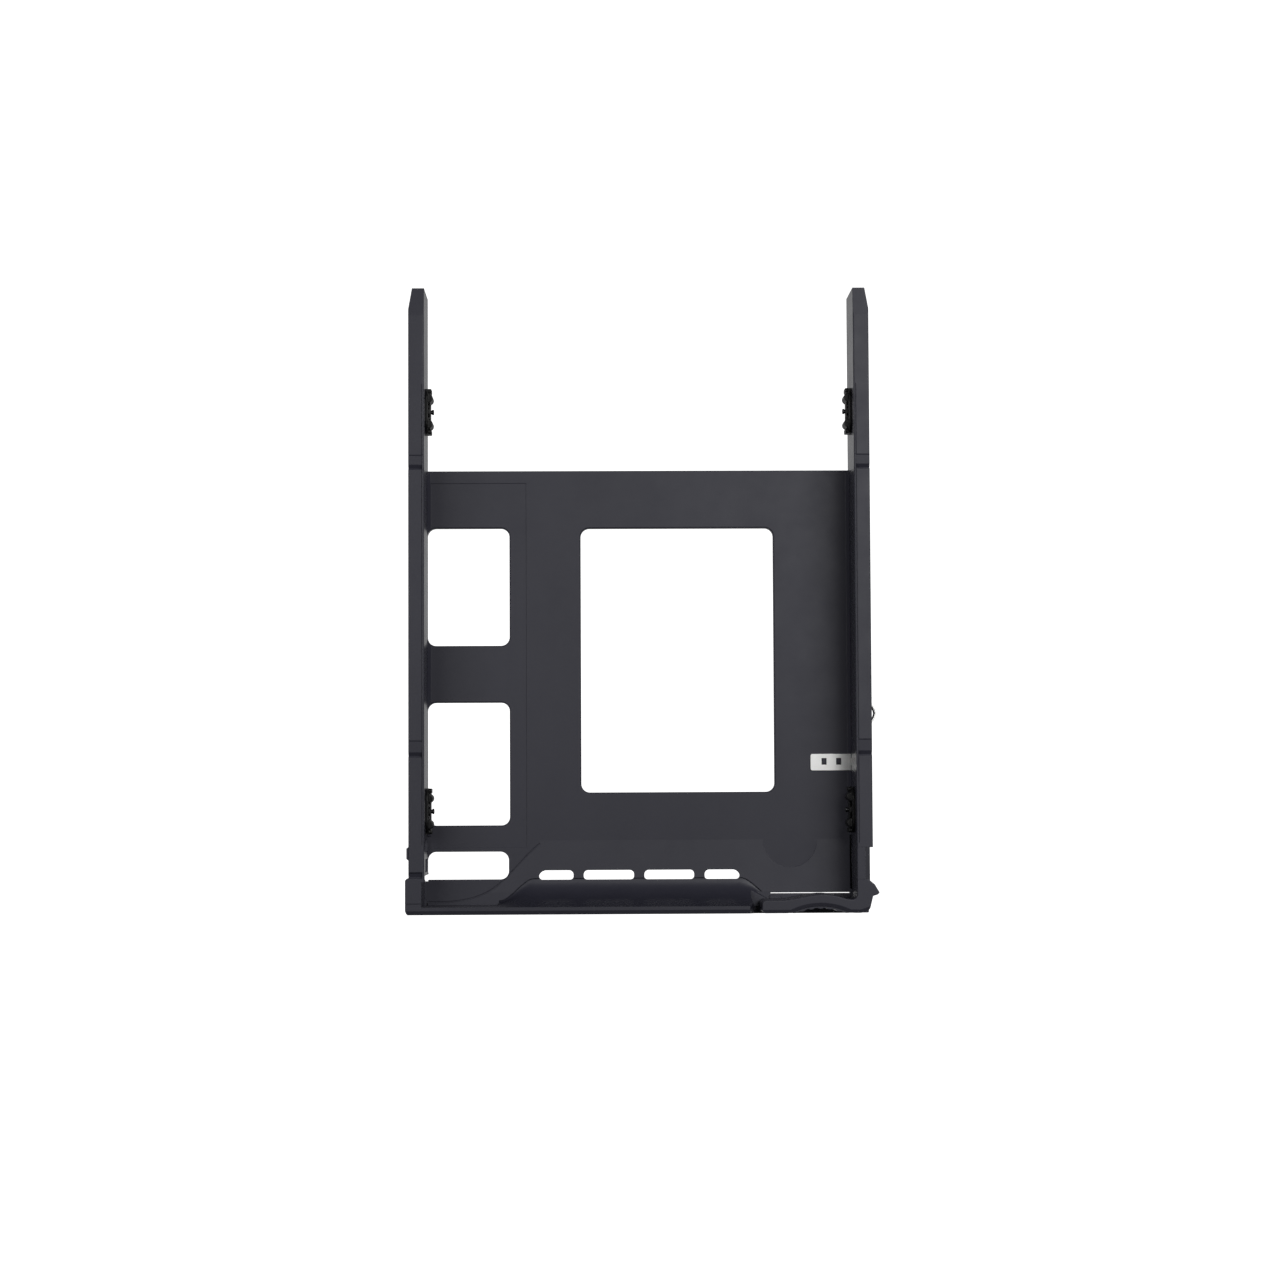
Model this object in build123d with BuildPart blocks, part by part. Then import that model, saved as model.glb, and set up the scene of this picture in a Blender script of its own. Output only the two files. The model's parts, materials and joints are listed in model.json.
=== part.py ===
from build123d import *

import os
from math import cos, sin

# A tool-less tray for one 3.5-inch hard drive, in millimetres.
# +X is the tray's right, +Y runs from the front face to the open rear ends of the rails, +Z is up.
# The origin is on the underside, midway between the rails, 1 mm behind the foot of the front face.
# The moulding is split into separate solids at the thin webs where it bends: the latch and both rail arms.

# ---- Driving dimensions -------------------------------------------------------------------------------

# The drive that the tray holds
HOLE_PITCH = 101.6  # between the side holes of a 3.5-inch drive
HOLE_HEIGHT = 6.35  # of the side holes above the drive's underside
DRIVE_GAP = 0.45  # between the drive's underside and the floor

# Overall
WALL_HEIGHT = 18.0
FLOOR = 2.2
TRAY_LENGTH = 157.5
FLOOR_LENGTH = 112.65
BAY_HALF = 54.2  # from the middle to a rail's inner face
FLANGE_HALF = 58.2  # from the middle to a rail's upper flange edge
RUNNER_HALF = 58.9  # from the middle to a rail's lower flange edge, which runs in the bay's guide
WEB = 2.1
TOP_FLANGE = 2.4
FRONT_WALL = 1.45  # inner face of the front wall
FRONT_FOOT = -1.0  # front face at its foot; it leans back from there
FRONT_HEAD = -0.45  # front face at its top, under the chamfer
CHAMFER_SLOPE = 0.7  # how far the chamfers along the front drop for each millimetre they run back
FRONT_CHAMFER = 1.0  # how far back they run: on the front wall

# Places along the rails
PIN_FRONT_Y = 25.4
PIN_REAR_Y = PIN_FRONT_Y + HOLE_PITCH
PIN_Z = FLOOR + DRIVE_GAP + HOLE_HEIGHT
REAR_NOTCH = (111.4, 115.1)
MIDDLE_NOTCH = (39.0, 43.2)
FRONT_NOTCH = (8.7, 10.3)
NOTCH_DEPTH = 1.0
FRONT_NOTCH_DEPTH = 0.8
RIM = 0.5  # width of the thin rim along the inner edge of a rail's top
RIM_LINE = 0.15  # width and depth of the line that sets the rim off
RIM_END_Y = 133.0
LATCH_WEB = (8.0, 16.0)  # where the right rail is only its web, so that the latch can bend
TIP_TAPER = 5.5
TIP_SLOPE = 7.0

# Latch
LATCH_UNDERSIDE = 3.6
SILL = 2.8  # top of the floor's front strip, under the latch arm
ARM_END = 30.35
TOOTH_REACH = 59.8
RIB_PITCH = 2.2
RIB_RADIUS = 1.3
RIB_RISE = 0.25  # how far a rib stands out of the pad
RIB_TOP = 17.2

# Isolators and pins, measured from the rail's inner face towards the drive
ISOLATOR_NECK = (8.0, 6.0)
NECK_CORNER = 1.5
ISOLATOR_FLANGE = 0.65
ISOLATOR_PAD = 1.5
ISOLATOR_LOBE = 1.9
LOBE = 1.15  # radius of a lobe's rounded nose
LOBE_HEIGHT = 6.4
PAD_HEIGHT = 4.6
OUTER_FLANGE = 0.9
PIN_REACH = 2.1
PIN_RADIUS = 1.3

# Grounding clip
CLIP_SHEET = 0.4
CLIP_Y = (35.4, 39.6)
CLIP_POSTS = (47.3, 51.05)  # X of the two posts of the tray that hold the clip
LEAF_Z = (6.4, 11.6)
LEAF_PEAK = 59.95

SIDES = {"left": -1, "right": 1}
WEB_OUT = BAY_HALF + WEB

# Corners of the right rail's section, an upright C open to the outside, each with its radius
RAIL_SECTION = [
    ((BAY_HALF, 0.0), 0.0),
    ((RUNNER_HALF, 0.0), 0.4),
    ((RUNNER_HALF, FLOOR), 0.4),
    ((WEB_OUT, FLOOR), 0.6),
    ((WEB_OUT, WALL_HEIGHT - TOP_FLANGE), 0.6),
    ((FLANGE_HALF, WALL_HEIGHT - TOP_FLANGE), 0.4),
    ((FLANGE_HALF, WALL_HEIGHT), 0.35),
    ((BAY_HALF, WALL_HEIGHT), 0.35),
]


# ---- Features used by several pieces ------------------------------------------------------------------


def block(x_range, y_range, z_range, mode=Mode.ADD):
    """A box between two corners."""
    ranges = (x_range, y_range, z_range)
    with Locations(tuple((high + low) / 2 for low, high in ranges)):
        Box(*(high - low for low, high in ranges), mode=mode)


def span(side, inner, outer):
    """The X range between two distances from the middle, on one side of the tray."""
    return tuple(sorted((side * inner, side * outer)))


def plan(points, radii, z_low, z_high, mode=Mode.ADD):
    """A rounded outline, seen from above, between two heights."""
    with BuildSketch(Plane.XY.offset(z_low)) as outline:
        with BuildLine():
            FilletPolyline(*points, radius=radii, close=True)
        make_face()
    extrude(outline.sketch, amount=z_high - z_low, mode=mode)


def profile_along_x(points, x_low, x_high, mode=Mode.ADD):
    """A (Y, Z) outline carried along X."""
    with BuildSketch(Plane.YZ.offset(x_low)) as outline:
        with BuildLine():
            Polyline(*points, close=True)
        make_face()
    extrude(outline.sketch, amount=x_high - x_low, mode=mode)


def rail(side, y_start, y_end):
    """A length of the C-section rail."""
    points = [(side * x, z) for (x, z), _ in RAIL_SECTION]
    radii = [radius for _, radius in RAIL_SECTION]
    with BuildSketch(Plane.XZ.offset(-y_start)) as section:
        with BuildLine():
            FilletPolyline(*points, radius=radii, close=True)
        make_face()
    extrude(section.sketch, amount=y_start - y_end)


def channel_rib(side, y_start, thickness=1.4):
    """A cross rib that joins both flanges inside the rail's channel."""
    block(
        span(side, WEB_OUT - 0.3, FLANGE_HALF - 0.4),
        (y_start, y_start + thickness),
        (FLOOR - 0.3, WALL_HEIGHT - TOP_FLANGE + 0.3),
    )


def rim_line(side, y_range):
    """The fine line along a rail's top that sets the inner rim off."""
    lip = (WALL_HEIGHT - RIM_LINE, WALL_HEIGHT + 1)
    block(span(side, BAY_HALF + RIM, BAY_HALF + RIM + RIM_LINE), y_range, lip, Mode.SUBTRACT)


def top_notch(side, y_range, depth=NOTCH_DEPTH):
    """A dip across the rail's top, deepest at the step at its front, with a thin rim left inside."""
    front, rear = y_range
    above = WALL_HEIGHT + 0.5
    low = WALL_HEIGHT - depth
    with BuildSketch(Plane.YZ.offset(side * (BAY_HALF + RIM))) as dip:
        with BuildLine():
            Polyline(
                (rear, above),
                (front, above),
                (front, low + 0.2),
                (front + 0.3, low),
                (front + 1.25, WALL_HEIGHT - 0.4),
                (rear - 0.2, WALL_HEIGHT - 0.2),
                (rear, WALL_HEIGHT),
                close=True,
            )
        make_face()
    extrude(dip.sketch, amount=side * 5, mode=Mode.SUBTRACT)


def seat_plane(side, y_centre):
    """A plane on the rail's inner face at a pin, looking into the bay."""
    return Plane((side * BAY_HALF, y_centre, PIN_Z), x_dir=(0, 1, 0), z_dir=(-side, 0, 0))


def isolator_seat(side, y_centre):
    """The hole through the rail's web that an isolator is buttoned into."""
    with BuildSketch(seat_plane(side, y_centre).offset(1)) as hole:
        RectangleRounded(*ISOLATOR_NECK, NECK_CORNER)
    extrude(hole.sketch, amount=-WEB - 2, mode=Mode.SUBTRACT)


def rail_tip(side):
    """The lead-in at a rail's rear end: its outer face tapers in and its top slopes down."""
    plan(
        [
            (side * FLANGE_HALF, TRAY_LENGTH - TIP_TAPER),
            (side * (FLANGE_HALF - 0.95), TRAY_LENGTH + 0.1),
            (side * (RUNNER_HALF + 1), TRAY_LENGTH + 0.1),
            (side * (RUNNER_HALF + 1), TRAY_LENGTH - TIP_TAPER - 5),
        ],
        0,
        -1,
        WALL_HEIGHT + 1,
        Mode.SUBTRACT,
    )
    profile_along_x(
        [
            (TRAY_LENGTH - TIP_SLOPE, WALL_HEIGHT),
            (TRAY_LENGTH + 0.1, WALL_HEIGHT - 0.7),
            (TRAY_LENGTH + 0.1, WALL_HEIGHT + 1),
            (TRAY_LENGTH - TIP_SLOPE, WALL_HEIGHT + 1),
        ],
        *span(side, BAY_HALF - 1, RUNNER_HALF + 1),
        Mode.SUBTRACT,
    )


def finish(piece, name):
    piece.part.label = name
    export_step(piece.part, f"parts/{name}.step")


os.makedirs("parts", exist_ok=True)

# ---- Tray frame ---------------------------------------------------------------------------------------

# Windows: (lowest X, highest X), (lowest Y, highest Y); the left ones run up to the left rail
BIG_WINDOW = (-14.9, 34.6), (30.0, 97.8)
LEFT_WINDOWS = [
    ((-BAY_HALF, -33.2), (67.7, 97.9)),
    ((-BAY_HALF, -33.2), (21.7, 53.1)),
    ((-BAY_HALF, -33.5), (7.9, 15.0)),
]
WINDOW_RADIUS = 2.2
WINDOW_EDGE = 0.3  # chamfer round each window

VENT_Y = (7.75, 10.2)
# Vents: lower left, lower right, upper right and upper left X; the outer two are round-shouldered outside
VENTS = [
    (-26.4, -17.0, -17.0, -25.1),
    (-14.4, -1.5, -1.5, -14.4),
    (1.1, 13.9, 13.9, 1.1),
    (16.5, 26.1, 24.8, 16.5),
]
VENT_CORNER = 1.15
SHOULDER = 2.0
VENT_FOOT = 0.9
CORNER_GAP = 0.04
STEP_X = -28.9  # the floor is a little lower to the left of this line
LOW_FLOOR = FLOOR - 0.12
APRON_REAR = 17.8  # the floor rises gently from here to the front
RISE_EDGE = [(-55, 2.3), (-45.0, 2.75), (-39.0, 4.7), (-33.2, 9.4), (STEP_X, 14.0), (-25.6, 17.0)]
CREASE = 0.3  # width of the fine groove along that edge
LOBE_CENTRE, LOBE_RADIUS = (38.4, 17.6), 6.9  # a round level spot in that rise

COVE_TOP = WALL_HEIGHT - 0.5
COVE_BASE = FLOOR + 0.15
COVE_GROOVE = 0.16  # width of the fine groove that the cove's foot stands in
GROOVE_BED = FLOOR - 0.05
COVE_FOOT = 8.0  # how far back the cove reaches in the middle
COVE_END_FOOT = 2.4  # and at its two ends
LEFT_FLANK = (-36.0, -27.0)  # the cove's end and the start of its straight middle
RIGHT_FLANK = (35.0, 25.5)
FLANK_SECTIONS = 7

WEB_CUTS = (3.4, 13.2)  # heights of the cuts through the left rail's web at its front end


def window(x_range, y_range, floor_top):
    """A rounded window through the floor, with a small chamfer round its upper edge."""
    size = [high - low for low, high in (x_range, y_range)]
    centre = tuple((high + low) / 2 for low, high in (x_range, y_range))
    with BuildSketch() as outline:
        with Locations(centre):
            RectangleRounded(*size, WINDOW_RADIUS)
    opening = outline.sketch
    extrude(opening.moved(Location((0, 0, -1))), amount=FLOOR + 3, mode=Mode.SUBTRACT)
    edge = opening.moved(Location((0, 0, floor_top - WINDOW_EDGE)))
    extrude(edge, amount=WINDOW_EDGE, taper=-45, mode=Mode.SUBTRACT)


def groove_section(x, foot):
    """What is cut from the rising floor at one X before the cove is added."""
    with BuildSketch(Plane.YZ.offset(x)) as section:
        with Locations(((1 + foot + COVE_GROOVE) / 2, GROOVE_BED + 1)):
            Rectangle(foot + COVE_GROOVE - 1, 2)
    return section.sketch


def cove_section(x, foot):
    """The cove behind the front wall at one X: level at its foot, upright at its top, hollow between."""
    base = COVE_BASE
    rise = COVE_TOP - base
    reach = foot - FRONT_WALL
    with BuildSketch(Plane.YZ.offset(x)) as section:
        with BuildLine():
            Polyline((foot, base), (foot, 1.2), (0.8, 1.2), (0.8, COVE_TOP), (FRONT_WALL, COVE_TOP))
            Bezier(
                (FRONT_WALL, COVE_TOP),
                (FRONT_WALL, COVE_TOP - 0.55 * rise),
                (foot - 0.62 * reach, base + 0.1),
                (foot, base),
            )
        make_face()
    return section.sketch


def cove_foot(x, end, start):
    """How far back the cove reaches on its curved end."""
    t = (x - end) / (start - end)
    return COVE_END_FOOT + (COVE_FOOT - COVE_END_FOOT) * t * t * (3 - 2 * t)


with BuildPart() as tray_frame:
    # Floor plate, with the gentle rise towards the front
    block((-BAY_HALF - 1, BAY_HALF + 1), (0, FLOOR_LENGTH), (0, FLOOR))
    profile_along_x(
        [(APRON_REAR, FLOOR), (APRON_REAR, 1.5), (1, 1.5), (1, SILL), (4.6, SILL)], -BAY_HALF, BAY_HALF
    )
    # The rise ends on the left along a curve from the front wall to the step line
    with BuildSketch(Plane.XY.offset(FLOOR)):
        with BuildLine():
            Spline(*RISE_EDGE)
            Polyline((-25.6, 17.0), (-25.6, 19), (-55, 19), (-55, 2.3))
        make_face()
    extrude(amount=2, mode=Mode.SUBTRACT)
    with BuildSketch(Plane.XY.offset(FLOOR - CREASE / 2)):
        with BuildLine():
            Spline(*RISE_EDGE)
        trace(line_width=CREASE)
    extrude(amount=2, mode=Mode.SUBTRACT)
    with Locations((*LOBE_CENTRE, FLOOR + 1)):
        Cylinder(LOBE_RADIUS, 2, mode=Mode.SUBTRACT)
    block((-BAY_HALF, STEP_X), (16, 109.5), (LOW_FLOOR, FLOOR + 1), Mode.SUBTRACT)

    # Rails, with a small foot along the floor, and the cross ribs in their channels
    rail(-1, FRONT_NOTCH[0] - 1, REAR_NOTCH[0])
    rail(1, LATCH_WEB[1], REAR_NOTCH[0])
    for side in SIDES.values():
        rail_foot = [(side * (BAY_HALF + 0.1), LOW_FLOOR), (side * 53.4, LOW_FLOOR)]
        rail_foot += [(side * 53.4, FLOOR), (side * (BAY_HALF + 0.1), FLOOR + 0.9)]
        with BuildSketch(Plane.XZ.offset(-19)):
            with BuildLine():
                Polyline(*rail_foot, close=True)
            make_face()
        extrude(amount=19 - FLOOR_LENGTH + 0.6)
        for y in (62, 78, 94, REAR_NOTCH[0] - 1.4):
            channel_rib(side, y)
    for y in (14.0, 33.6, 46.0):
        channel_rib(-1, y)
    channel_rib(1, LATCH_WEB[1])

    # Front wall with its cove: a straight middle and two ends that curve in to the wall
    block((-58.0, 29.0), (FRONT_FOOT, FRONT_WALL), (0, WALL_HEIGHT))
    for section_of, mode in ((groove_section, Mode.SUBTRACT), (cove_section, Mode.ADD)):
        middle = section_of(LEFT_FLANK[1], COVE_FOOT)
        extrude(middle, amount=RIGHT_FLANK[1] - LEFT_FLANK[1], mode=mode)
        for end, start in (LEFT_FLANK, RIGHT_FLANK):
            places = [end + (start - end) * step / (FLANK_SECTIONS - 1) for step in range(FLANK_SECTIONS)]
            loft([section_of(x, cove_foot(x, end, start)) for x in places], mode=mode)

    # The floor's rear corners stop a hair short of the webs that the rail arms bend at
    for side in SIDES.values():
        beside_web = span(side, BAY_HALF - CORNER_GAP, 55.5)
        block(beside_web, (REAR_NOTCH[0], FLOOR_LENGTH + 1), (-1, 5), Mode.SUBTRACT)

    # Left corner block, with a shallow line across its top, and the bump behind it
    plan(
        [(-59.03, FRONT_FOOT), (-54.95, FRONT_FOOT), (-54.95, 8.7), (-58.6, 8.7), (-59.03, 8.2)],
        [1.9, 0, 0.3, 0.2, 0.2],
        0,
        WALL_HEIGHT,
    )
    block((-60, -54), (2.2, 2.4), (WALL_HEIGHT - 0.15, WALL_HEIGHT + 1), Mode.SUBTRACT)
    plan([(-57.9, 13.0), (-58.7, 13.6), (-58.7, 16.2), (-57.9, 16.8)], 0.15, 15.6, WALL_HEIGHT - 0.35)
    block((-58.7, -54.5), (0.4, 3.2), (0, 3.2))

    # Under the latch: the runner goes on to the front corner, and a sill closes the front
    plan(
        [
            (28, FRONT_FOOT),
            (58.5, FRONT_FOOT),
            (RUNNER_HALF, 3.5),
            (RUNNER_HALF, LATCH_WEB[1] + 1),
            (53, LATCH_WEB[1] + 1),
            (53, 4),
            (28, 4),
        ],
        [0, 0.3, 0.8, 0, 0, 0, 0],
        0,
        FLOOR,
    )
    block((28, BAY_HALF), (FRONT_FOOT, 4.6), (FLOOR - 0.2, SILL))
    block((33.1, 35.9), (2.4, 3.6), (SILL - 0.2, SILL + 0.5))

    # Room for the latch arm: nothing stands above the sill to the right of the front wall's slanted end
    plan(
        [(28.95, -2), (28.95, 0.7), (28.2, 3.2), (28.2, 9.5), (36, 9.5), (36, -2)],
        0,
        SILL + 0.5,
        WALL_HEIGHT + 1,
        Mode.SUBTRACT,
    )
    with BuildSketch(Plane.XZ.offset(2)):
        with BuildLine():
            Polyline((27.2, WALL_HEIGHT + 1), (27.3, WALL_HEIGHT), (29.4, SILL + 0.5), (36, SILL + 0.5))
            Polyline((36, SILL + 0.5), (36, WALL_HEIGHT + 1), (27.2, WALL_HEIGHT + 1))
        make_face()
    extrude(amount=-11.5, mode=Mode.SUBTRACT)
    # Slit behind the arm, and the groove at the foot of the bending part
    plan([(33.1, 4.01), (53.7, 4.01), (53.7, 4.28), (33.4, 4.28)], 0.1, -1, SILL + 1, Mode.SUBTRACT)
    block((53.75, BAY_HALF + 0.05), (5.2, 18.8), (1.2, SILL + 1), Mode.SUBTRACT)

    # Windows and vents
    window(*BIG_WINDOW, FLOOR)
    for outline in LEFT_WINDOWS:
        window(*outline, LOW_FLOOR)
    for low_left, low_right, high_right, high_left in VENTS:
        plan(
            [
                (low_left, VENT_Y[0]),
                (low_right, VENT_Y[0]),
                (high_right, VENT_Y[1]),
                (high_left, VENT_Y[1]),
            ],
            [
                VENT_FOOT,
                VENT_FOOT,
                VENT_CORNER if high_right == low_right else SHOULDER,
                VENT_CORNER if high_left == low_left else SHOULDER,
            ],
            -1,
            FLOOR + 2,
            Mode.SUBTRACT,
        )

    # The left rail's front end is slit free above the corner window, so that its bump can give
    rail_inside = -BAY_HALF + 0.1
    rail_outside = -WEB_OUT - 0.1
    for x_range, y_range, z_range in (
        ((-58.2, rail_inside), (8.75, 9.3), (-1, WALL_HEIGHT - TOP_FLANGE)),
        ((-54.95, rail_inside), (7.5, 8.8), (-1, WALL_HEIGHT - TOP_FLANGE)),
        ((-55.2, -52), (7.9, 9.3), (-1, WEB_CUTS[0])),
        ((rail_outside, rail_inside), (10.1, 13.4), WEB_CUTS),
        ((rail_outside, rail_inside), (15.2, 18.4), WEB_CUTS),
    ):
        block(x_range, y_range, z_range, Mode.SUBTRACT)

    # Notches across the rails, and the isolators' seats
    for side in SIDES.values():
        top_notch(side, MIDDLE_NOTCH)
        isolator_seat(side, PIN_FRONT_Y)
        rim_line(side, (LATCH_WEB[1] + 1.2, REAR_NOTCH[0]))
    top_notch(-1, FRONT_NOTCH, FRONT_NOTCH_DEPTH)

    # The front face leans back, and its upper edge is chamfered
    profile_along_x(
        [
            (FRONT_FOOT, SILL),
            (FRONT_HEAD, WALL_HEIGHT - FRONT_CHAMFER * CHAMFER_SLOPE),
            (FRONT_HEAD + FRONT_CHAMFER + 1, WALL_HEIGHT + CHAMFER_SLOPE),
            (FRONT_FOOT - 1, WALL_HEIGHT + 1),
            (FRONT_FOOT - 1, SILL),
        ],
        -60,
        29.5,
        Mode.SUBTRACT,
    )

    # Seat, posts and wall slot for the grounding clip, and the guard behind its leaf
    block((43.5, BAY_HALF + 0.2), (CLIP_Y[0] - 0.2, CLIP_Y[1] + 0.2), (FLOOR, 4), Mode.SUBTRACT)
    block((BAY_HALF - 0.2, WEB_OUT + 1), (36.6, 38.6), (FLOOR, FLOOR + 0.5), Mode.SUBTRACT)
    block((WEB_OUT, WEB_OUT + 0.7), (35.4, 40.0), (FLOOR, FLOOR + 1), Mode.SUBTRACT)
    for post_x in CLIP_POSTS:
        block((post_x - 0.5, post_x + 0.5), (37.1, 38.3), (FLOOR - 0.1, FLOOR + 0.65))
    plan(
        [(WEB_OUT - 0.2, 53.3), (58.75, 53.3), (FLANGE_HALF, 56.3), (WEB_OUT - 0.2, 56.3)],
        [0, 0.3, 0.3, 0],
        5.0,
        13.0,
    )

    # Ejector marks on the underside
    with Locations(*((x, y) for x in (-22, 44) for y in (20, 60, 104))):
        Cylinder(2.5, 0.3, align=(Align.CENTER, Align.CENTER, Align.CENTER), mode=Mode.SUBTRACT)
finish(tray_frame, "tray_frame")

# ---- Rail arms and the notched webs that they bend at -------------------------------------------------

for hand, side in SIDES.items():
    with BuildPart() as rail_arm:
        rail(side, REAR_NOTCH[1], TRAY_LENGTH)
        channel_rib(side, REAR_NOTCH[1])
        channel_rib(side, 136.5)
        channel_rib(side, 146.0)
        channel_rib(side, TRAY_LENGTH - 1.8, 1.8)
        isolator_seat(side, PIN_REAR_Y)
        rail_tip(side)
        rim_line(side, (REAR_NOTCH[1], RIM_END_Y))
    finish(rail_arm, f"{hand}_rail_arm")

    with BuildPart() as rail_flexure:
        rail(side, *REAR_NOTCH)
        top_notch(side, REAR_NOTCH)
        rim_line(side, REAR_NOTCH)
    finish(rail_flexure, f"{hand}_rail_flexure")

# ---- Latch --------------------------------------------------------------------------------------------

ARM_FRONT, ARM_REAR = FRONT_HEAD + 0.03, 3.0  # front and rear faces of the arm beside the grip
ARM_CHAMFER = 0.85  # how far back the chamfer runs on the arm
CHAMFER_DROP = ARM_CHAMFER * CHAMFER_SLOPE
HOLLOW_RADIUS = 16.4
HOLLOW_CENTRE = (45.0, 1.32 - HOLLOW_RADIUS)  # of the shallow hollow in the arm's front, above the grip
CORNER_EDGE = (54.0, -0.83), (59.0, 0.88)  # the line that the arm's front falls back along at its corner
HOLLOW_EDGE = 6.0  # radius where the hollow runs out into the straight front
GRIP_RADIUS = HOLLOW_RADIUS - 0.7  # of the arc that the thumb ribs' noses stand on, about the same centre
GRIP_HEIGHT = RIB_TOP - LATCH_UNDERSIDE
GRIP_DRAFT = 0.15  # how much further forward the grip stands at its foot than at its top
PAD_RADIUS = GRIP_RADIUS + RIB_RISE  # of the pad's hollow face at its top

# The thumb pad: hollow across, with wide upright ribs
with BuildPart() as thumb_pad:
    block((38.0, 52.0), (ARM_FRONT, ARM_REAR), (LATCH_UNDERSIDE, RIB_TOP))
    with Locations((*HOLLOW_CENTRE, LATCH_UNDERSIDE + GRIP_HEIGHT / 2)):
        Cone(PAD_RADIUS - GRIP_DRAFT, PAD_RADIUS, GRIP_HEIGHT, mode=Mode.SUBTRACT)
    for step in range(-2, 3):
        turn = step * RIB_PITCH / GRIP_RADIUS
        toward = Vector(sin(turn), cos(turn))
        foot = Vector(*HOLLOW_CENTRE, LATCH_UNDERSIDE) + toward * (GRIP_RADIUS - GRIP_DRAFT + RIB_RADIUS)
        with BuildSketch(Plane(foot)):
            Circle(RIB_RADIUS)
        rise = Vector(0, 0, GRIP_HEIGHT) + toward * GRIP_DRAFT
        extrude(amount=rise.length, dir=rise)
    # Nothing stands further forward than the tray's front face, or behind the arm
    block((35, 56), (-5, ARM_FRONT), (0, WALL_HEIGHT), Mode.SUBTRACT)
    block((35, 56), (ARM_REAR, 6), (0, WALL_HEIGHT), Mode.SUBTRACT)

# The arm from above: a hook of bent plate, hollow in front where the thumb goes
with BuildSketch() as arm_plan:
    with BuildLine():
        Line((44.0, ARM_FRONT), (54.3, ARM_FRONT))
        FilletPolyline(
            (54.3, ARM_FRONT),
            (55.2, ARM_FRONT),
            (57.3, 0.3),
            (58.15, 3.8),
            (59.3, 4.15),
            (TOOTH_REACH, 4.65),
            (58.6, 6.7),
            (57.0, LATCH_WEB[0]),
            radius=[1.2, 1.3, 0.4, 0.3, 0.25, 0.5],
        )
        Line((57.0, LATCH_WEB[0]), (BAY_HALF, LATCH_WEB[0]))
        FilletPolyline((BAY_HALF, LATCH_WEB[0]), (BAY_HALF, ARM_REAR), (52.9, ARM_REAR), radius=[1.2])
        Spline(
            (52.9, ARM_REAR),
            (49.5, 3.73),
            (45.2, 4.22),
            (39.8, 3.47),
            (34.6, 2.84),
            tangents=((-1, 0), (-1, 0)),
        )
        FilletPolyline(
            (34.6, 2.84), (ARM_END, 2.84), (ARM_END, ARM_FRONT), (44.0, ARM_FRONT), radius=[1.0, 0.9]
        )
    make_face()
    with Locations(HOLLOW_CENTRE):
        Circle(HOLLOW_RADIUS, mode=Mode.SUBTRACT)
    hollow_ends = arm_plan.vertices().filter_by(lambda v: abs(v.Y - ARM_FRONT) < 0.01 and 35 < v.X < 53)
    fillet(hollow_ends, HOLLOW_EDGE)


def chamfer_above(start, end):
    """Chamfers the arm's upper edge along a straight line of its plan; the arm lies to the line's left."""
    along = (Vector(*end) - Vector(*start)).normalized()
    inward = Vector(-along.Y, along.X)
    with BuildSketch(Plane(Vector(*start), x_dir=inward, z_dir=along)) as wedge:
        with BuildLine():
            Polyline(
                (0, WALL_HEIGHT - CHAMFER_DROP),
                (ARM_CHAMFER + 1, WALL_HEIGHT + CHAMFER_SLOPE),
                (-2, WALL_HEIGHT + CHAMFER_SLOPE),
                (-2, WALL_HEIGHT - CHAMFER_DROP),
                close=True,
            )
        make_face()
    extrude(wedge.sketch, amount=(Vector(*end) - Vector(*start)).length, mode=Mode.SUBTRACT)


with BuildPart() as latch_lever:
    extrude(arm_plan.sketch.moved(Location((0, 0, LATCH_UNDERSIDE))), amount=WALL_HEIGHT - LATCH_UNDERSIDE)
    top = latch_lever.faces().sort_by(Axis.Z)[-1]
    fillet(top.edges().filter_by(lambda e: e.center().Y < LATCH_WEB[0] - 0.05), 0.25)
    chamfer_above((ARM_END - 1, ARM_FRONT), (60, ARM_FRONT))
    chamfer_above(*CORNER_EDGE)
    with Locations((*HOLLOW_CENTRE, WALL_HEIGHT - CHAMFER_DROP / 2)):
        Cone(HOLLOW_RADIUS, HOLLOW_RADIUS + ARM_CHAMFER, CHAMFER_DROP, mode=Mode.SUBTRACT)
    add(thumb_pad.part)
finish(latch_lever, "latch_lever")

with BuildPart() as latch_flexure:
    block((BAY_HALF, WEB_OUT), LATCH_WEB, (LATCH_UNDERSIDE, WALL_HEIGHT))
    along = latch_flexure.edges().filter_by(Axis.Y)
    fillet(along, 0.25)
finish(latch_flexure, "latch_flexure")

# ---- Grounding clip and its leaf ----------------------------------------------------------------------

with BuildPart() as grounding_clip:
    plan(
        [(43.85, CLIP_Y[0]), (BAY_HALF, CLIP_Y[0]), (BAY_HALF, CLIP_Y[1]), (43.85, CLIP_Y[1])],
        [0.5, 0, 0, 0.5],
        FLOOR,
        FLOOR + CLIP_SHEET,
    )
    with BuildSketch(Plane.XY.offset(FLOOR + CLIP_SHEET)):
        with Locations((49.4, 37.5)):
            RectangleRounded(8.5, 3.0, 1.0)
            RectangleRounded(8.2, 2.7, 0.85, mode=Mode.SUBTRACT)
    extrude(amount=-0.15, mode=Mode.SUBTRACT)
    for post_x in CLIP_POSTS:
        block((post_x - 0.65, post_x + 0.65), (36.85, 38.55), (0, 4), Mode.SUBTRACT)
    block((BAY_HALF, WEB_OUT + 0.45), (36.7, 38.5), (FLOOR, FLOOR + CLIP_SHEET))
    block((WEB_OUT + 0.05, WEB_OUT + 0.45), (35.6, 39.8), (FLOOR, LEAF_Z[1]))
finish(grounding_clip, "grounding_clip")

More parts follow.
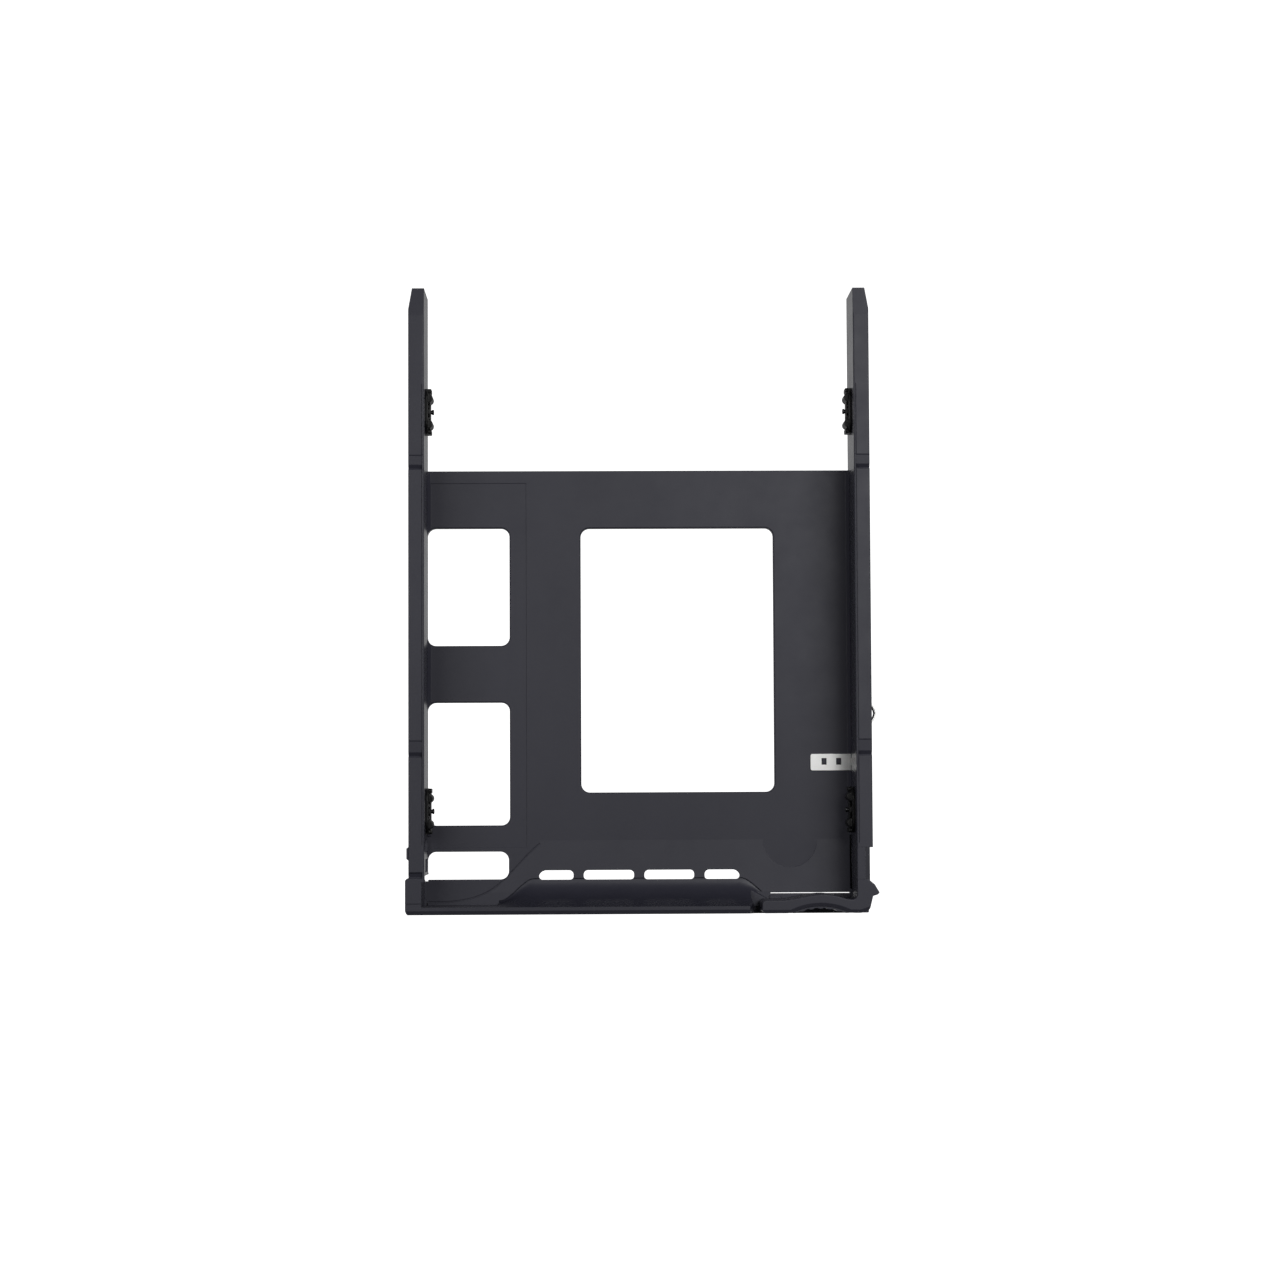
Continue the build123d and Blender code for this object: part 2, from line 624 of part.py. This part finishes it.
with BuildPart() as ground_contact:
    with BuildSketch(Plane.XY.offset(LEAF_Z[0])):
        with BuildLine():
            Spline(
                (WEB_OUT + 0.25, 39.88),
                (56.85, 42.6),
                (58.0, 46.3),
                (LEAF_PEAK - CLIP_SHEET / 2, 49.9),
                (58.35, 52.5),
                tangents=((0, 1), (-0.8, 1)),
            )
        trace(line_width=CLIP_SHEET)
    extrude(amount=LEAF_Z[1] - LEAF_Z[0])
finish(ground_contact, "ground_contact")

# ---- Isolators and drive pins -------------------------------------------------------------------------


def isolator(side, y_centre):
    """A rubber isolator: a flange on each face of the web, a neck between, two lobes and two end pads."""
    seat = seat_plane(side, y_centre)
    with BuildSketch(Plane.XY.offset(PIN_Z - LOBE_HEIGHT / 2)) as lobes:
        with Locations(*((side * (BAY_HALF - ISOLATOR_LOBE + LOBE), y_centre + y) for y in (-3.3, 3.3))):
            Circle(LOBE)
    extrude(lobes.sketch, amount=LOBE_HEIGHT)
    with BuildSketch(seat) as pads:
        with Locations((-5.1, 0), (5.1, 0)):
            RectangleRounded(1.6, PAD_HEIGHT, 0.5)
    extrude(pads.sketch, amount=ISOLATOR_PAD)
    block(span(side, BAY_HALF, BAY_HALF + 2), (y_centre - 7, y_centre + 7), (0, WALL_HEIGHT), Mode.SUBTRACT)
    with BuildSketch(seat) as flange:
        RectangleRounded(11.8, 9.2, 3.0)
    extrude(flange.sketch, amount=ISOLATOR_FLANGE)
    with BuildSketch(seat) as neck:
        RectangleRounded(*ISOLATOR_NECK, NECK_CORNER)
    extrude(neck.sketch, amount=-WEB)
    with BuildSketch(seat.offset(-WEB)) as outer:
        RectangleRounded(10.6, 8.4, 1.6)
    extrude(outer.sketch, amount=-OUTER_FLANGE)
    with BuildSketch(seat.offset(2)) as bore:
        Circle(PIN_RADIUS)
    extrude(bore.sketch, amount=-8, mode=Mode.SUBTRACT)


def drive_pin(side, y_centre):
    """A turned steel pin: a flat head outside, a plain shank, a collar and a tapered nose inside."""
    centre = Vector(side * BAY_HALF, y_centre, PIN_Z)
    head_face = -WEB - OUTER_FLANGE
    nose = PIN_RADIUS * 0.55
    with BuildSketch(Plane(centre, x_dir=(-side, 0, 0), z_dir=(0, 0, 1))) as half:
        with BuildLine():
            Polyline(
                (head_face - 0.8, 0),
                (head_face - 0.8, 2.3),
                (head_face - 0.6, 2.5),
                (head_face, 2.5),
                (head_face, PIN_RADIUS),
                (ISOLATOR_FLANGE, PIN_RADIUS),
                (ISOLATOR_FLANGE, 1.6),
                (ISOLATOR_FLANGE + 0.2, 1.6),
                (ISOLATOR_FLANGE + 0.8, nose),
                (PIN_REACH - 0.3, nose),
            )
            ThreePointArc(
                (PIN_REACH - 0.3, nose), (PIN_REACH - 0.09, nose * 0.72), (PIN_REACH, nose * 0.3)
            )
            Polyline((PIN_REACH, nose * 0.3), (PIN_REACH, 0), (head_face - 0.8, 0))
        make_face()
    revolve(half.sketch, axis=Axis(centre, (1, 0, 0)))


for hand, side in SIDES.items():
    for place, y_centre in (("front", PIN_FRONT_Y), ("rear", PIN_REAR_Y)):
        with BuildPart() as rubber:
            isolator(side, y_centre)
        finish(rubber, f"{place}_{hand}_isolator")

        with BuildPart() as pin:
            drive_pin(side, y_centre)
        finish(pin, f"{place}_{hand}_pin")
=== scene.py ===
"""Looks for a tool-less tray that holds one 3.5-inch hard drive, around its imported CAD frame.

The tray lies flat, seen from high above, on a white sweep. Every length is in metres, in the frame of
the CAD model: +X is the tray's right, +Y runs from its front face to the open ends of its rails, +Z is up.
"""

import json
from math import cos, radians, sin

import bmesh
import bpy
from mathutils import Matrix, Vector


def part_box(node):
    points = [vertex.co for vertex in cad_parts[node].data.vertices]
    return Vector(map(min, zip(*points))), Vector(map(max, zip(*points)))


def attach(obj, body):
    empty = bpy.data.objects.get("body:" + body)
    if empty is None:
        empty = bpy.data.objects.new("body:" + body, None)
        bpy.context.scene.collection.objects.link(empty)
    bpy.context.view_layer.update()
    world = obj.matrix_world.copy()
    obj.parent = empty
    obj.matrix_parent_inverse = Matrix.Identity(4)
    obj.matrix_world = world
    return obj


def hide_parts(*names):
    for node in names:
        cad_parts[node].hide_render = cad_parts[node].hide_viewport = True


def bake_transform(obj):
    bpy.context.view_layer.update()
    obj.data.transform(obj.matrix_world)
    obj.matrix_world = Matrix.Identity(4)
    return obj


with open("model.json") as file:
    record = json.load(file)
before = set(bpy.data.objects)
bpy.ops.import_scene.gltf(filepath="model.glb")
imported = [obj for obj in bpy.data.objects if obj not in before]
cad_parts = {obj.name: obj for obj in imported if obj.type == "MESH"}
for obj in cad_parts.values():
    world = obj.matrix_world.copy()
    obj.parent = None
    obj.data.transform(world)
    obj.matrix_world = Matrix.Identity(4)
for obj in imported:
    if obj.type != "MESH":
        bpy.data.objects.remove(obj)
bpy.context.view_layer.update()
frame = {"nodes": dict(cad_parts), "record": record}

MM = 0.001
NODES = frame["nodes"]


# ---- Camera -------------------------------------------------------------------------------------------

CAMERA_PLACE = (-12.20 * MM, 30.64 * MM, 743.80 * MM)
CAMERA_TILT = (2.968, -0.949, -0.262)  # degrees about X, Y and Z; all zero looks straight down
SENSOR_WIDTH = 36.0
LENS = 81.363


def make_camera():
    data = bpy.data.cameras.new("camera")
    data.sensor_width = SENSOR_WIDTH
    data.lens = LENS
    data.clip_start = 0.01
    data.clip_end = 100
    camera = bpy.data.objects.new("camera", data)
    bpy.context.collection.objects.link(camera)
    camera.location = CAMERA_PLACE
    camera.rotation_euler = [radians(angle) for angle in CAMERA_TILT]
    bpy.context.scene.camera = camera


# ---- Studio -------------------------------------------------------------------------------------------

TABLE_SIZE = 40
TABLE_CENTRE = (0, 0.08, -0.00005)
TABLE_WHITE = 0.8
TABLE_GLOW_SEEN = 0.9
TABLE_GLOW_BOUNCED = 0.4
SURROUND_RADIUS = 6
SURROUND_GLOW = 1.0
WORLD_GLOW = 0.03


def make_light(name, place, target, size, power):
    """A white soft box at a place, aimed at a target; power is in watts."""
    data = bpy.data.lights.new(name, "AREA")
    data.shape = "RECTANGLE"
    data.size, data.size_y = size
    data.energy = power
    light = bpy.data.objects.new(name, data)
    bpy.context.collection.objects.link(light)
    light.location = place
    light.rotation_euler = (Vector(target) - Vector(place)).to_track_quat("-Z", "Y").to_euler()


def white_glow(name, white, glow):
    """A matt material that reflects a share white of the light and glows by itself."""
    material = bpy.data.materials.new(name)
    material.use_nodes = True
    shader = material.node_tree.nodes["Principled BSDF"]
    shader.inputs["Base Color"].default_value = (white, white, white, 1)
    shader.inputs["Roughness"].default_value = 0.7
    shader.inputs["Emission Color"].default_value = (1, 1, 1, 1)
    shader.inputs["Emission Strength"].default_value = glow
    return material


def seen_only(stage_piece):
    """Lets the camera see a piece, which sheds no light on the tray and isn't mirrored in it."""
    stage_piece.visible_diffuse = False
    stage_piece.visible_glossy = False
    stage_piece.visible_transmission = False


def make_table(name, glow):
    """A white table top, just under the tray and lit through from below."""
    bpy.ops.mesh.primitive_plane_add(size=TABLE_SIZE, location=TABLE_CENTRE)
    table = bpy.context.object
    table.name = name
    table.data.materials.append(white_glow(name, TABLE_WHITE, glow))
    return table


def make_floor():
    """The table as seen is burnt out to white; the one that lights and mirrors in the tray is dimmer."""
    seen_only(make_table("table_seen", TABLE_GLOW_SEEN))
    bounced = make_table("table_bounced", TABLE_GLOW_BOUNCED)
    bounced.visible_camera = False


def make_surround():
    """A white surround that is seen above the table's horizon in low views."""
    bpy.ops.mesh.primitive_uv_sphere_add(radius=SURROUND_RADIUS)
    surround = bpy.context.object
    surround.name = "surround"
    surround.data.materials.append(white_glow("surround", 0.0, SURROUND_GLOW))
    surround.visible_shadow = False
    seen_only(surround)


def make_studio():
    world = bpy.data.worlds.new("studio")
    bpy.context.scene.world = world
    world.use_nodes = True
    world.node_tree.nodes["Background"].inputs["Color"].default_value = (1, 1, 1, 1)
    world.node_tree.nodes["Background"].inputs["Strength"].default_value = WORLD_GLOW
    make_light("right_box", (0.30, 0.28, 0.62), (0, 0.1, 0), (0.3, 0.45), 2.23)
    make_light("left_box", (-0.38, 0.14, 0.6), (0, 0.08, 0), (0.35, 0.5), 1.13)
    make_floor()
    make_surround()
    view = bpy.context.scene.view_settings
    view.view_transform = "Standard"
    view.look = "None"
    view.exposure = 0.0
    view.gamma = 1.0


# ---- Materials ----------------------------------------------------------------------------------------


class Nodes:
    """A material's node tree, with short ways to add and join nodes."""

    def __init__(self, name):
        self.material = bpy.data.materials.new(name)
        self.material.use_nodes = True
        self.tree = self.material.node_tree
        self.shader = self.tree.nodes["Principled BSDF"]
        self.coordinates = self.add("ShaderNodeTexCoord").outputs["Object"]

    def add(self, kind, **settings):
        node = self.tree.nodes.new(kind)
        for name, value in settings.items():
            setattr(node, name, value)
        return node

    def join(self, source, target):
        self.tree.links.new(source, target)

    def noise(self, scale, detail=2.0, roughness=0.5, stretch=None):
        """A noise pattern, its scale in cycles per metre."""
        texture = self.add("ShaderNodeTexNoise")
        texture.inputs["Scale"].default_value = scale
        texture.inputs["Detail"].default_value = detail
        texture.inputs["Roughness"].default_value = roughness
        source = self.coordinates
        if stretch:
            mapping = self.add("ShaderNodeMapping")
            mapping.inputs["Scale"].default_value = stretch
            self.join(source, mapping.inputs["Vector"])
            source = mapping.outputs["Vector"]
        self.join(source, texture.inputs["Vector"])
        return texture.outputs["Fac"]

    def spread(self, source, low, high, start=0.3, end=0.7):
        """source, which runs from start to end, mapped on to low to high."""
        node = self.add("ShaderNodeMapRange")
        node.inputs["From Min"].default_value = start
        node.inputs["From Max"].default_value = end
        node.inputs["To Min"].default_value = low
        node.inputs["To Max"].default_value = high
        self.join(source, node.inputs["Value"])
        return node.outputs["Result"]

    def levelness(self):
        """0 on upright faces, 1 on level ones."""
        split = self.add("ShaderNodeSeparateXYZ")
        self.join(self.coordinates.node.outputs["Normal"], split.inputs["Vector"])
        size = self.add("ShaderNodeMath", operation="ABSOLUTE")
        self.join(split.outputs["Z"], size.inputs[0])
        return size.outputs["Value"]

    def blend(self, amount, low, high):
        """A number that runs from one output to another as amount runs from 0 to 1."""
        node = self.add("ShaderNodeMix", data_type="FLOAT")
        self.join(amount, node.inputs["Factor"])
        self.join(low, node.inputs["A"])
        self.join(high, node.inputs["B"])
        return node.outputs["Result"]

    def colours(self, source, low, high):
        """A colour between two, led by a value from 0 to 1."""
        node = self.add("ShaderNodeMix", data_type="RGBA")
        node.inputs["A"].default_value = (*low, 1)
        node.inputs["B"].default_value = (*high, 1)
        self.join(source, node.inputs["Factor"])
        return node.outputs["Result"]

    def bump(self, height, depth, normal=None):
        """A bump as deep as depth, in metres."""
        node = self.add("ShaderNodeBump")
        node.inputs["Strength"].default_value = 1.0
        node.inputs["Distance"].default_value = depth
        self.join(height, node.inputs["Height"])
        if normal:
            self.join(normal, node.inputs["Normal"])
        return node.outputs["Normal"]

    def put(self, name, value):
        """Sets a shader input to a number, a colour or another node's output."""
        socket = self.shader.inputs[name]
        if isinstance(value, bpy.types.NodeSocket):
            self.join(value, socket)
        else:
            socket.default_value = value


def plastic_material():
    """Charcoal moulding: a fine eroded grain, faint flow marks and slightly broken edges."""
    nodes = Nodes("charcoal_plastic")
    flow = nodes.spread(nodes.noise(28, 3, 0.55, (1, 0.35, 1)), 0, 1)
    nodes.put("Base Color", nodes.colours(flow, (0.032, 0.032, 0.047), (0.039, 0.039, 0.056)))
    # The mould leaves upright faces smoother than the grained level ones
    level = nodes.spread(nodes.levelness(), 0, 1, 0.25, 0.6)
    smooth_sides = nodes.spread(nodes.noise(160, 4, 0.6), 0.24, 0.30)
    grained_tops = nodes.spread(nodes.noise(160, 4, 0.6), 0.44, 0.53)
    nodes.put("Roughness", nodes.blend(level, smooth_sides, grained_tops))
    edges = nodes.add("ShaderNodeBevel", samples=6)
    edges.inputs["Radius"].default_value = 0.18 * MM
    grain = nodes.noise(4200, 2, 0.6)
    nodes.put("Normal", nodes.bump(grain, 0.012 * MM, edges.outputs["Normal"]))
    return nodes.material


def rubber_material():
    """Black rubber with a soft bloom."""
    nodes = Nodes("black_rubber")
    bloom = nodes.spread(nodes.noise(300, 3, 0.6), 0, 1)
    nodes.put("Base Color", nodes.colours(bloom, (0.002, 0.002, 0.0025), (0.004, 0.004, 0.0045)))
    nodes.put("Roughness", nodes.spread(nodes.noise(900, 3, 0.6), 0.40, 0.55))
    nodes.put("Specular IOR Level", 0.35)
    nodes.put("Normal", nodes.bump(nodes.noise(2500, 2, 0.5), 0.01 * MM))
    return nodes.material


def pin_material():
    """Dark plated steel with fine turning marks round the pin."""
    nodes = Nodes("pin_steel")
    turned = nodes.noise(900, 2, 0.5, (14, 1, 1))
    marks = nodes.spread(turned, 0, 1)
    nodes.put("Base Color", nodes.colours(marks, (0.07, 0.07, 0.075), (0.13, 0.13, 0.135)))
    nodes.put("Metallic", 1.0)
    nodes.put("Roughness", nodes.spread(turned, 0.24, 0.38))
    nodes.put("Normal", nodes.bump(turned, 0.006 * MM))
    return nodes.material


def clip_material():
    """Bright rolled sheet steel, brushed along its length."""
    nodes = Nodes("clip_steel")
    brushed = nodes.noise(700, 3, 0.6, (1, 16, 16))
    marks = nodes.spread(brushed, 0, 1)
    nodes.put("Base Color", nodes.colours(marks, (0.88, 0.88, 0.865), (0.93, 0.93, 0.915)))
    nodes.put("Metallic", 1.0)
    nodes.put("Roughness", nodes.spread(brushed, 0.36, 0.44))
    nodes.put("Normal", nodes.bump(brushed, 0.0012 * MM))
    return nodes.material


MATERIALS = {
    "plastic": plastic_material(),
    "rubber": rubber_material(),
    "pin_steel": pin_material(),
    "clip_steel": clip_material(),
}


def paint(piece, slot):
    piece.data.materials.clear()
    piece.data.materials.append(MATERIALS[slot])


def slot_of(node):
    for row in frame["record"]["subparts"]:
        if row["node"] == node:
            return row["material_slot"]


for name, node in NODES.items():
    paint(node, slot_of(name))


# ---- Bending webs -------------------------------------------------------------------------------------

BEND_SLICES = 10


def bending_web(node_name):
    """A copy of a web, cut into slices along Y, which takes the place of the hidden web.
    """
    node = NODES[node_name]
    web = node.copy()
    web.data = node.data.copy()
    web.name = node_name + "_bending"
    web.parent = None
    bpy.context.collection.objects.link(web)
    low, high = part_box(node_name)
    mesh = bmesh.new()
    mesh.from_mesh(web.data)
    for step in range(1, BEND_SLICES):
        place = low.lerp(high, step / BEND_SLICES)
        everything = mesh.verts[:] + mesh.edges[:] + mesh.faces[:]
        bmesh.ops.bisect_plane(mesh, geom=everything, plane_co=place, plane_no=(0, 1, 0))
    mesh.to_mesh(web.data)
    mesh.free()
    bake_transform(web)
    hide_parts(node_name)


bending_web("latch_flexure")
bending_web("left_rail_flexure")
bending_web("right_rail_flexure")


# ---- Rubber isolators and drive pins ------------------------------------------------------------------

# Along a pin, 0 is the rail's inner face, and more is nearer the drive. All of these are in millimetres.
WEB_THICKNESS = 2.1
# Rubber plates: (from, to) along the pin, (middle, width) along the rail, height, corner radius
RUBBER_PLATES = [
    ((0.0, 0.66), (0.0, 11.7), 9.1, 3.0),
    ((0.3, 1.5), (5.2, 1.2), 4.6, 0.5),
    ((0.3, 1.5), (-5.2, 1.2), 4.6, 0.5),
    ((0.3, 1.2), (3.35, 2.5), 6.4, 0.5),
    ((0.3, 1.2), (-3.35, 2.5), 6.4, 0.5),
    ((0.95, 1.28), (0.0, 5.6), 4.2, 0.5),
    ((0.3, 1.26), (0.0, 1.9), 4.2, 0.5),
    ((-WEB_THICKNESS - 0.9, -WEB_THICKNESS + 0.05), (0.0, 10.6), 8.4, 1.6),
    ((-WEB_THICKNESS - 0.2, 0.3), (0.0, 7.9), 5.9, 1.5),
]
LOBES = (-3.3, 3.3)
LOBE_RADIUS = 1.15
LOBE_NOSE = 1.9
LOBE_HEIGHT = 6.4
RUBBER_VOXEL = 0.13
CORNER_STEPS = 8
# The turned pin's outline: (along the pin, radius)
PIN_OUTLINE = [
    (-3.8, 0.0), (-3.8, 2.25), (-3.74, 2.4), (-3.6, 2.5), (-3.1, 2.5), (-3.0, 2.4), (-3.0, 1.3),
    (0.1, 1.3), (0.25, 0.95), (1.24, 0.95), (1.32, 0.86), (1.34, 0.5), (1.52, 0.5), (1.6, 0.66),
    (1.72, 0.7), (1.92, 0.7), (2.03, 0.62), (2.09, 0.42), (2.1, 0.0),
]
PIN_SIDES = 48


def add_plate(mesh, x_range, y_range, height, corner):
    """A plate with rounded corners, standing across X."""
    reach_y = (y_range[1] - y_range[0]) / 2 - corner
    reach_z = height / 2 - corner
    middle = (y_range[0] + y_range[1]) / 2
    outline = []
    for step in range(4 * CORNER_STEPS):
        quarter = step // CORNER_STEPS
        turn = radians(90 * (quarter + (step % CORNER_STEPS) / (CORNER_STEPS - 1)))
        y_side = 1 if quarter in (0, 3) else -1
        z_side = 1 if quarter in (0, 1) else -1
        y = middle + y_side * reach_y + corner * cos(turn)
        z = z_side * reach_z + corner * sin(turn)
        outline.append((y, z))
    rings = [[mesh.verts.new(Vector((x, y, z)) * MM) for y, z in outline] for x in x_range]
    for ring in rings:
        mesh.faces.new(ring)
    for place in range(len(outline)):
        after = (place + 1) % len(outline)
        mesh.faces.new((rings[0][place], rings[0][after], rings[1][after], rings[1][place]))


def add_post(mesh, centre, radius, height):
    """A round post, upright."""
    made = bmesh.ops.create_cone(
        mesh, cap_ends=True, segments=32, radius1=radius, radius2=radius, depth=height
    )["verts"]
    bmesh.ops.translate(mesh, verts=made, vec=centre)


def new_piece(name, mesh, slot):
    data = bpy.data.meshes.new(name)
    bmesh.ops.recalc_face_normals(mesh, faces=mesh.faces[:])
    mesh.to_mesh(data)
    mesh.free()
    piece = bpy.data.objects.new(name, data)
    bpy.context.collection.objects.link(piece)
    paint(piece, slot)
    return piece


def apply_modifiers(piece):
    settled = piece.evaluated_get(bpy.context.evaluated_depsgraph_get())
    data = bpy.data.meshes.new_from_object(settled)
    piece.modifiers.clear()
    piece.data = data


def rubber_piece(name, side):
    """The isolator, built round its pin's axis: plates and lobes melted into one soft moulding."""
    mesh = bmesh.new()
    for x_range, (middle, width), height, corner in RUBBER_PLATES:
        add_plate(mesh, x_range, (middle - width / 2, middle + width / 2), height, corner)
    for along in LOBES:
        centre = Vector((LOBE_NOSE - LOBE_RADIUS, along, 0)) * MM
        add_post(mesh, centre, LOBE_RADIUS * MM, LOBE_HEIGHT * MM)
    for vert in mesh.verts:
        vert.co.x *= -side
    piece = new_piece(name, mesh, "rubber")
    melt = piece.modifiers.new("melt", "REMESH")
    melt.mode = "VOXEL"
    melt.voxel_size = RUBBER_VOXEL * MM
    soften = piece.modifiers.new("soften", "SMOOTH")
    soften.factor = 0.5
    soften.iterations = 4
    apply_modifiers(piece)
    return piece


def pin_piece(name, side):
    """The pin, turned from its outline."""
    mesh = bmesh.new()
    outline = [mesh.verts.new(Vector((along, 0, radius)) * MM) for along, radius in PIN_OUTLINE]
    edges = [mesh.edges.new(pair) for pair in zip(outline, outline[1:])]
    bmesh.ops.spin(
        mesh, geom=outline + edges, cent=(0, 0, 0), axis=(1, 0, 0), angle=radians(360), steps=PIN_SIDES
    )
    bmesh.ops.remove_doubles(mesh, verts=mesh.verts[:], dist=0.001 * MM)
    for vert in mesh.verts:
        vert.co.x *= -side
    return new_piece(name, mesh, "pin_steel")


def smooth(piece, angle=35):
    for face in piece.data.polygons:
        face.use_smooth = True
    piece.data.set_sharp_from_angle(angle=radians(angle))


SIDES = {"left": -1, "right": 1}
PIN_BODIES = {
    "front_left": "frame",
    "front_right": "frame",
    "rear_left": "left_arm",
    "rear_right": "right_arm",
}

for place, body in PIN_BODIES.items():
    side = SIDES[place.split("_")[1]]
    low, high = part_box(place + "_pin")
    # The pin's nose is the innermost point of its node
    nose = high.x if side < 0 else low.x
    wall = nose + side * PIN_OUTLINE[-1][0] * MM
    centre = Vector((wall, (low.y + high.y) / 2, (low.z + high.z) / 2))
    for kind, make in (("isolator", rubber_piece), ("pin", pin_piece)):
        piece = make(f"{place}_{kind}_detail", side)
        piece.location = centre
        smooth(piece)
        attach(piece, body)
        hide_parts(f"{place}_{kind}")


make_camera()
make_studio()
